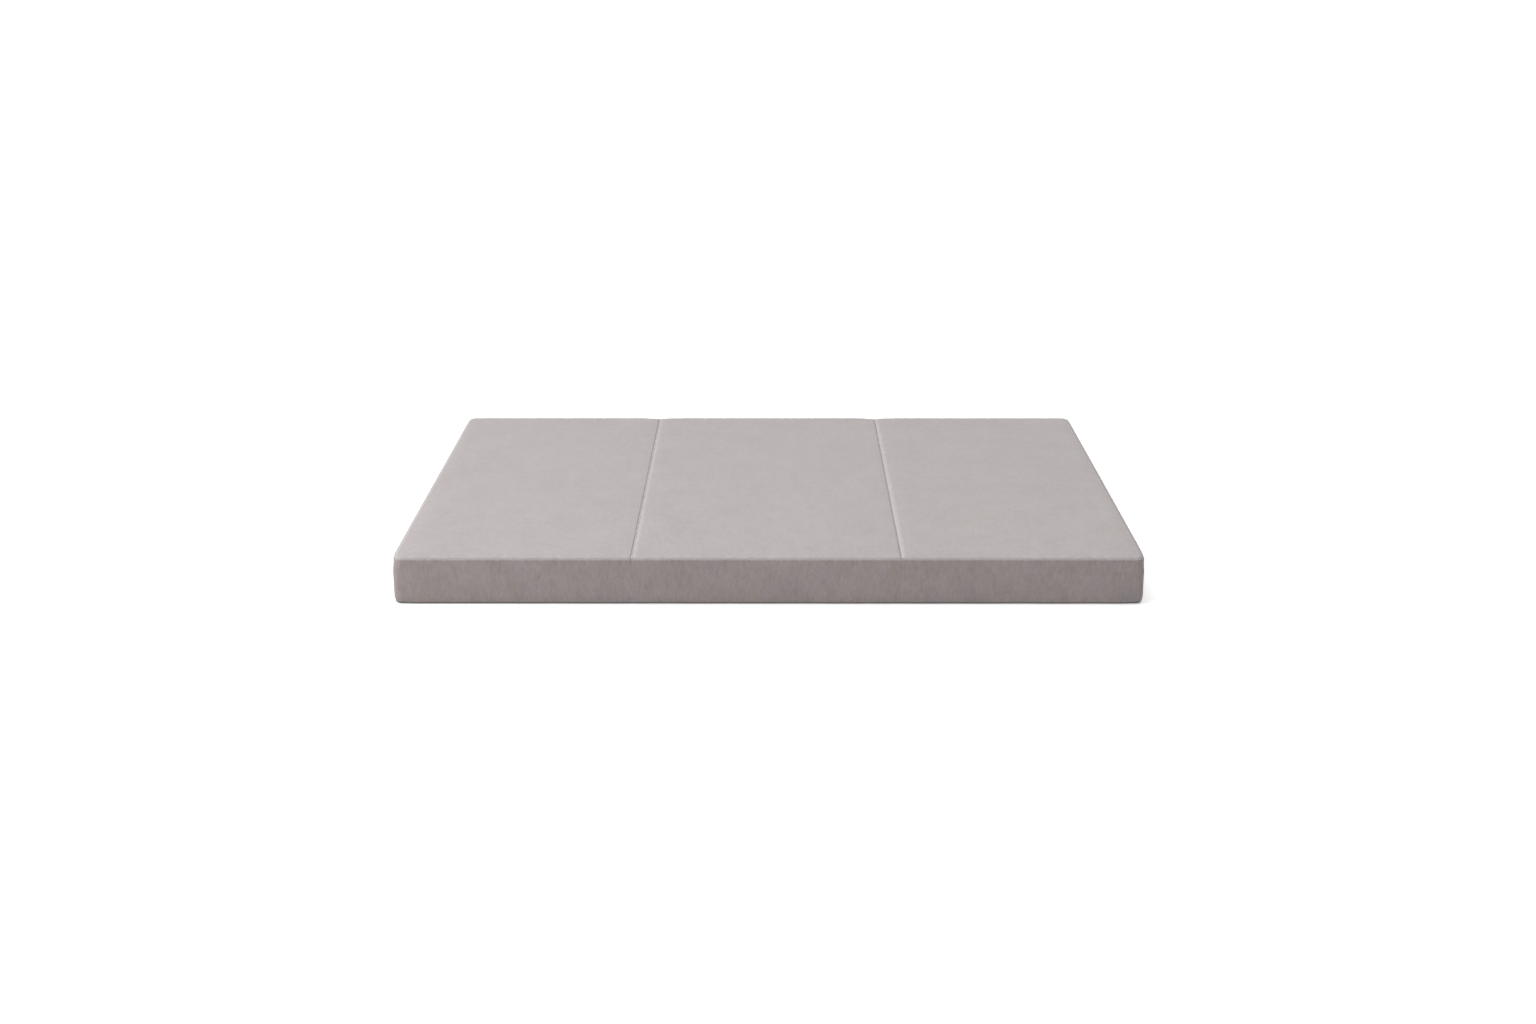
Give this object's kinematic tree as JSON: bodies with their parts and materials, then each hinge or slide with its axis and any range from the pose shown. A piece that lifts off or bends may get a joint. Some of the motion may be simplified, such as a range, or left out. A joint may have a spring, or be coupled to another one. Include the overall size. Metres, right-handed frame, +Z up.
{
  "type": "folding mattress",
  "caption": "Flat foam folding mattress in hinged padded panels with piped edges, a dark non-slip base and zipped covers; folds to a stack.",
  "frame": {"origin": "centre of the mattress's underside on the floor, lying open", "axes": "+X along the panels, from the root panel to the last one; +Y to the zipped back border; +Z up through the sleeping surface"},
  "size_m": [1.9, 1.4048, 0.125],
  "materials": {
    "cover_fabric": "warm grey brushed velvet-like weave, matt",
    "border_fabric": "the same brushed fabric, nap upright",
    "piping_fabric": "the same brushed fabric round a soft cord",
    "fold_wall_fabric": "plain woven lining in the cover colour",
    "base_fabric": "dark non-slip woven base with small dots",
    "binding_tape": "dark woven binding tape",
    "fold_tape": "woven tape in the cover colour",
    "inner_liner": "thin white knitted liner",
    "comfort_foam": "soft pale foam, open cell",
    "support_foam": "firm pale foam, open cell",
    "zip_tape": "woven zip tape",
    "zip_teeth": "moulded coil teeth",
    "zip_metal": "nickel finish, satin"
  },
  "bodies": {
    "left_panel": {"left_support_foam": "support_foam", "left_comfort_foam": "comfort_foam", "left_foam_liner": "inner_liner", "left_top_cover": "cover_fabric", "left_base": "base_fabric", "left_border": "border_fabric", "left_piping": "piping_fabric", "left_binding": "binding_tape", "left_fold_wall": "fold_wall_fabric", "left_zip_upper_tape": "zip_tape", "left_zip_lower_tape": "zip_tape", "left_zip_chain": "zip_teeth", "left_zip_start_stop": "zip_metal", "left_zip_end_stop": "zip_metal", "top_fold_tape": "fold_tape"},
    "middle_panel": {"middle_support_foam": "support_foam", "middle_comfort_foam": "comfort_foam", "middle_foam_liner": "inner_liner", "middle_top_cover": "cover_fabric", "middle_base": "base_fabric", "middle_front_border": "border_fabric", "middle_back_border": "border_fabric", "middle_front_piping": "piping_fabric", "middle_front_binding": "binding_tape", "middle_back_piping": "piping_fabric", "middle_back_binding": "binding_tape", "middle_left_fold_wall": "fold_wall_fabric", "middle_right_fold_wall": "fold_wall_fabric", "middle_zip_upper_tape": "zip_tape", "middle_zip_lower_tape": "zip_tape", "middle_zip_chain": "zip_teeth", "middle_zip_start_stop": "zip_metal", "middle_zip_end_stop": "zip_metal"},
    "right_panel": {"right_support_foam": "support_foam", "right_comfort_foam": "comfort_foam", "right_foam_liner": "inner_liner", "right_top_cover": "cover_fabric", "right_base": "base_fabric", "right_border": "border_fabric", "right_piping": "piping_fabric", "right_binding": "binding_tape", "right_fold_wall": "fold_wall_fabric", "right_zip_upper_tape": "zip_tape", "right_zip_lower_tape": "zip_tape", "right_zip_chain": "zip_teeth", "right_zip_start_stop": "zip_metal", "right_zip_end_stop": "zip_metal", "bottom_fold_tape": "fold_tape"},
    "left_slider": {"left_zip_slider": "zip_metal"},
    "left_puller": {"left_zip_puller": "zip_metal"},
    "middle_slider": {"middle_zip_slider": "zip_metal"},
    "middle_puller": {"middle_zip_puller": "zip_metal"},
    "right_slider": {"right_zip_slider": "zip_metal"},
    "right_puller": {"right_zip_puller": "zip_metal"}
  },
  "joints": [
    {"name": "middle_fold", "type": "hinge", "parent": "left_panel", "child": "middle_panel", "pos_m": [-0.3465, 0, 0.1253], "axis": [0, -1, 0], "range_deg": [0, 180], "deforming": ["top_fold_tape"]},
    {"name": "right_fold", "type": "hinge", "parent": "middle_panel", "child": "right_panel", "pos_m": [0.3345, 0, -0.0003], "axis": [0, 1, 0], "range_deg": [0, 180], "deforming": ["bottom_fold_tape"]},
    {"name": "left_zip_slide", "type": "slide", "parent": "left_panel", "child": "left_slider", "axis": [1, 0, 0], "range_m": [0, 0.4358]},
    {"name": "left_puller_swing", "type": "hinge", "parent": "left_slider", "child": "left_puller", "pos_m": [-0.8664, 0.70265, 0.04], "axis": [0, 0, 1], "range_deg": [0, 180]},
    {"name": "middle_zip_slide", "type": "slide", "parent": "middle_panel", "child": "middle_slider", "axis": [1, 0, 0], "range_m": [0, 0.5128]},
    {"name": "middle_puller_swing", "type": "hinge", "parent": "middle_slider", "child": "middle_puller", "pos_m": [-0.2624, 0.70265, 0.04], "axis": [0, 0, 1], "range_deg": [0, 180]},
    {"name": "right_zip_slide", "type": "slide", "parent": "right_panel", "child": "right_slider", "axis": [1, 0, 0], "range_m": [0, 0.4478]},
    {"name": "right_puller_swing", "type": "hinge", "parent": "right_slider", "child": "right_puller", "pos_m": [0.4186, 0.70265, 0.04], "axis": [0, 0, 1], "range_deg": [0, 180]}
  ]
}
